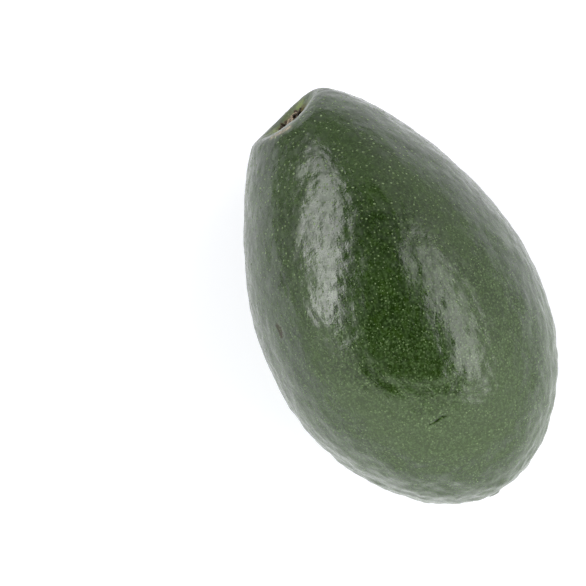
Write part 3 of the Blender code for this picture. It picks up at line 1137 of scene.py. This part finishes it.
bm = ball(PLUG_RINGS, PLUG_AROUND)
wood_tone_and_shade_layer = bm.verts.layers.float.new("ridge")
middle = -CORE_DOME - CORE_HEIGHT / 2.0
for vert in bm.verts:
    around = math.atan2(vert.co.y, vert.co.x)
    from_axis = math.hypot(vert.co.x, vert.co.y)
    side = from_axis**0.45
    on_top = step(vert.co.z, -0.1, 0.35)
    petal = math.cos(RIDGES * around + 1.4 * math.sin(3.0 * around) + 2.5 * side)
    groove_place = Vector((2.6 * math.cos(around), 2.6 * math.sin(around), vert.co.z * 0.8 + side * 1.5))
    groove = noise.noise(groove_place * 1.7)
    ring_fold = math.sin(FOLDS * side + 2.0 * math.sin(2.0 * around))
    rough = 0.45 * petal * step(side, 0.15, 0.5) + 0.9 * groove + 0.35 * ring_fold * on_top
    radius = (CORE_RADIUS - PLUG_EASE) * side * (1.0 + 0.03 * math.cos(5.0 * around + 0.7))
    radius += SIDE_RELIEF * rough * (1.0 - on_top) * side
    height = math.copysign(abs(vert.co.z) ** 0.35, vert.co.z) * CORE_HEIGHT / 2.0
    pit = PIT_DEPTH * math.exp(-((side / PIT_SHARE) ** 2))
    height += on_top * (CORE_DOME * (1.0 - side) + TOP_RELIEF * rough - pit)
    vert.co = Vector((radius * math.cos(around), radius * math.sin(around), middle + height))
    vert.co.z += GRIT_HEIGHT * noise.noise(vert.co / GRIT_SIZE)
    # The value that picks the wood's brown: low in the grooves, which is painted shade, higher on the ridges
    # and the top
    vert[wood_tone_and_shade_layer] = 0.42 + 0.45 * rough + 0.28 * on_top
core_mesh = bpy.data.meshes.new("stem_core")
bm.to_mesh(core_mesh)
bm.free()
print("plug faces:", len(core_mesh.polygons))

# %% The rule of a scale
# Each scale: its direction in degrees, its reach from the axis, its width and the lift of its tip
FLAKES = (
    (2, 0.0040, 0.0021, 0.0015),
    (48, 0.0035, 0.0021, 0.0008),
    (93, 0.0038, 0.0026, 0.0004),
    (138, 0.0037, 0.0020, 0.0004),
    (178, 0.0040, 0.0023, 0.0004),
    (221, 0.0040, 0.0023, 0.0000),
    (269, 0.0041, 0.0029, 0.0003),
    (318, 0.0039, 0.0026, 0.0011),
)
FLAKE_LEVEL = -0.0012
FLAKE_ROOT_RADIUS = 0.0017
FLAKE_PAPER = 0.00022
CUP_HEIGHT = 0.0002
TIP_CURL = 0.00025
CRUMPLE_HEIGHT = 0.00006


def scale_point(index, angle, reach, width, lift, out, across):
    """A point of one scale: out runs from its root to its tip, across from -0.5 to 0.5."""
    ragged = 0.16 * math.sin(7.0 * across + index) * out + 0.05 * math.sin(23.0 * across + 2.0 * index) * out
    distance = FLAKE_ROOT_RADIUS + (reach - FLAKE_ROOT_RADIUS) * (out - abs(ragged))
    spread = width * (1.0 - 0.55 * out**3) * (1.0 + 0.06 * math.sin(19.0 * out + index))
    curl = CUP_HEIGHT * (1.0 - 4.0 * across**2) + TIP_CURL * out**3 * math.sin(5.0 * across + index)
    height = FLAKE_LEVEL + lift * out**2 + curl
    height += CRUMPLE_HEIGHT * noise.noise(Vector((out * 9.0, across * 14.0, index)))
    turned = Matrix.Rotation(math.radians(angle), 3, "Z")
    return turned @ Vector((distance, across * spread, height))


# %% Make the scales of the collar
INNER_INDEX = 20
INNER_TURN = 24.0
INNER_REACH = 0.72
INNER_WIDTH = 0.8
INNER_LIFT = 0.0006

scales = [(i, *flake) for i, flake in enumerate(FLAKES)]
for i, (angle, reach, width, lift) in enumerate(FLAKES):
    if i % 2 == 0:
        inner_size = (INNER_REACH * reach, INNER_WIDTH * width)
        scales.append((i + INNER_INDEX, angle + INNER_TURN, *inner_size, lift + INNER_LIFT))
bm = bmesh.new()
wood_tone_and_shade_layer = bm.verts.layers.float.new("ridge")
for index, angle, reach, width, lift in scales:
    made = bmesh.ops.create_grid(bm, x_segments=18, y_segments=14, size=0.5)
    for vert in made["verts"]:
        out = vert.co.x + 0.5
        across = vert.co.y
        fibres = noise.noise(Vector((out * 2.5, across * 16.0, index)))
        # Low at a scale's root where it meets the plug, which is painted shade, and higher towards its tip,
        # with fibres
        vert[wood_tone_and_shade_layer] = 0.12 + 0.40 * out**2 + 0.45 * fibres
        vert.co = scale_point(index, angle, reach, width, lift, out, across)
bmesh.ops.recalc_face_normals(bm, faces=bm.faces)
scale_mesh = bpy.data.meshes.new("collar_scales")
bm.to_mesh(scale_mesh)
bm.free()
collar = bpy.data.objects.new("collar_scales", scale_mesh)
bpy.context.scene.collection.objects.link(collar)
paper_thick = collar.modifiers.new("paper", "SOLIDIFY")
paper_thick.thickness = FLAKE_PAPER
paper_thick.offset = 0.0
thick_mesh = bpy.data.meshes.new_from_object(collar.evaluated_get(bpy.context.evaluated_depsgraph_get()))
bpy.data.objects.remove(collar)
print("scales:", len(scales), "faces:", len(thick_mesh.polygons))

# %% Join them into one button
bm = bmesh.new()
bm.from_mesh(core_mesh)
bm.from_mesh(thick_mesh)
bmesh.ops.transform(bm, matrix=button_frame, verts=bm.verts)
button_mesh = bpy.data.meshes.new("stem_button_wood")
bm.to_mesh(button_mesh)
bm.free()
button_mesh.shade_smooth()
button = bpy.data.objects.new("stem_button_wood", button_mesh)
bpy.context.scene.collection.objects.link(button)
print("stem button faces:", len(button_mesh.polygons))

# %% [markdown]
# ## The button's finish: dead dry stem wood
# Dead stem tissue is matt, fibrous and brown. A value written on its points picks the brown: pinkish
# tan on the ridges and the plug's top, and nearly black in the hollows and at the scales' roots, which
# is painted shade. A noise adds stains.

# %% Build the wood material
STAIN_SIZE = 0.0006
FIBRE_SIZE = 0.00025
FIBRE_HEIGHT = 0.00010

stem_wood = bpy.data.materials.new("dead_dry_stem_wood")
stem_wood.use_nodes = True
nodes = stem_wood.node_tree
spot = add_node(nodes, "ShaderNodeTexCoord").outputs["Object"]
wood_shader = nodes.nodes["Principled BSDF"]
ridge = add_node(nodes, "ShaderNodeAttribute", attribute_name="ridge").outputs["Fac"]
# Painted shade: low values, in the hollows and at the scales' roots, get a nearly black brown.
brown = laid_over("#150F08", "#4A3C2C", share_of(ridge, 0.18, 0.66))
brown = laid_over(brown, "#9A8872", share_of(ridge, 0.58, 0.98))
brown = laid_over(brown, "#2C2218", patches(STAIN_SIZE, 0.50, 0.70, 0.0, 0.5, detail=3.0))
nodes.links.new(brown, wood_shader.inputs["Base Color"])
wood_shader.inputs["Roughness"].default_value = 0.85
fibre = bumped(FIBRE_SIZE, FIBRE_HEIGHT, detail=3.0, roughness=0.6, strength=0.6)
nodes.links.new(fibre, wood_shader.inputs["Normal"])
button_mesh.materials.append(stem_wood)
print("nodes in the wood:", len(nodes.nodes))

# %% [markdown]
# ## Tie the pieces to the frame
# Nothing on an avocado moves, so all pieces ride on the one body. The skin stands for the fruit's
# solid and the wood for the button's. The last cell measures how close the fine skin lies to the solid
# and prints it, so a change of size shows at once.

# %% Ride and replace, then measure
for piece, slot in ((skin, "avocado_skin"), (lenticels, "avocado_skin"), (button, "dry_stem_wood")):
    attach(piece, "root")
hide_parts("fruit")
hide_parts("stem_button")

EVERY_POINT = 97
cad_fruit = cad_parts["fruit"].data
solid = BVHTree.FromPolygons([v.co for v in cad_fruit.vertices], [p.vertices for p in cad_fruit.polygons])
gaps = [solid.find_nearest(v.co)[3] * 1000.0 for v in list(skin.data.vertices)[::EVERY_POINT]]
print("skin to solid: mean", round(sum(gaps) / len(gaps), 3), "mm, most", round(max(gaps), 3), "mm")
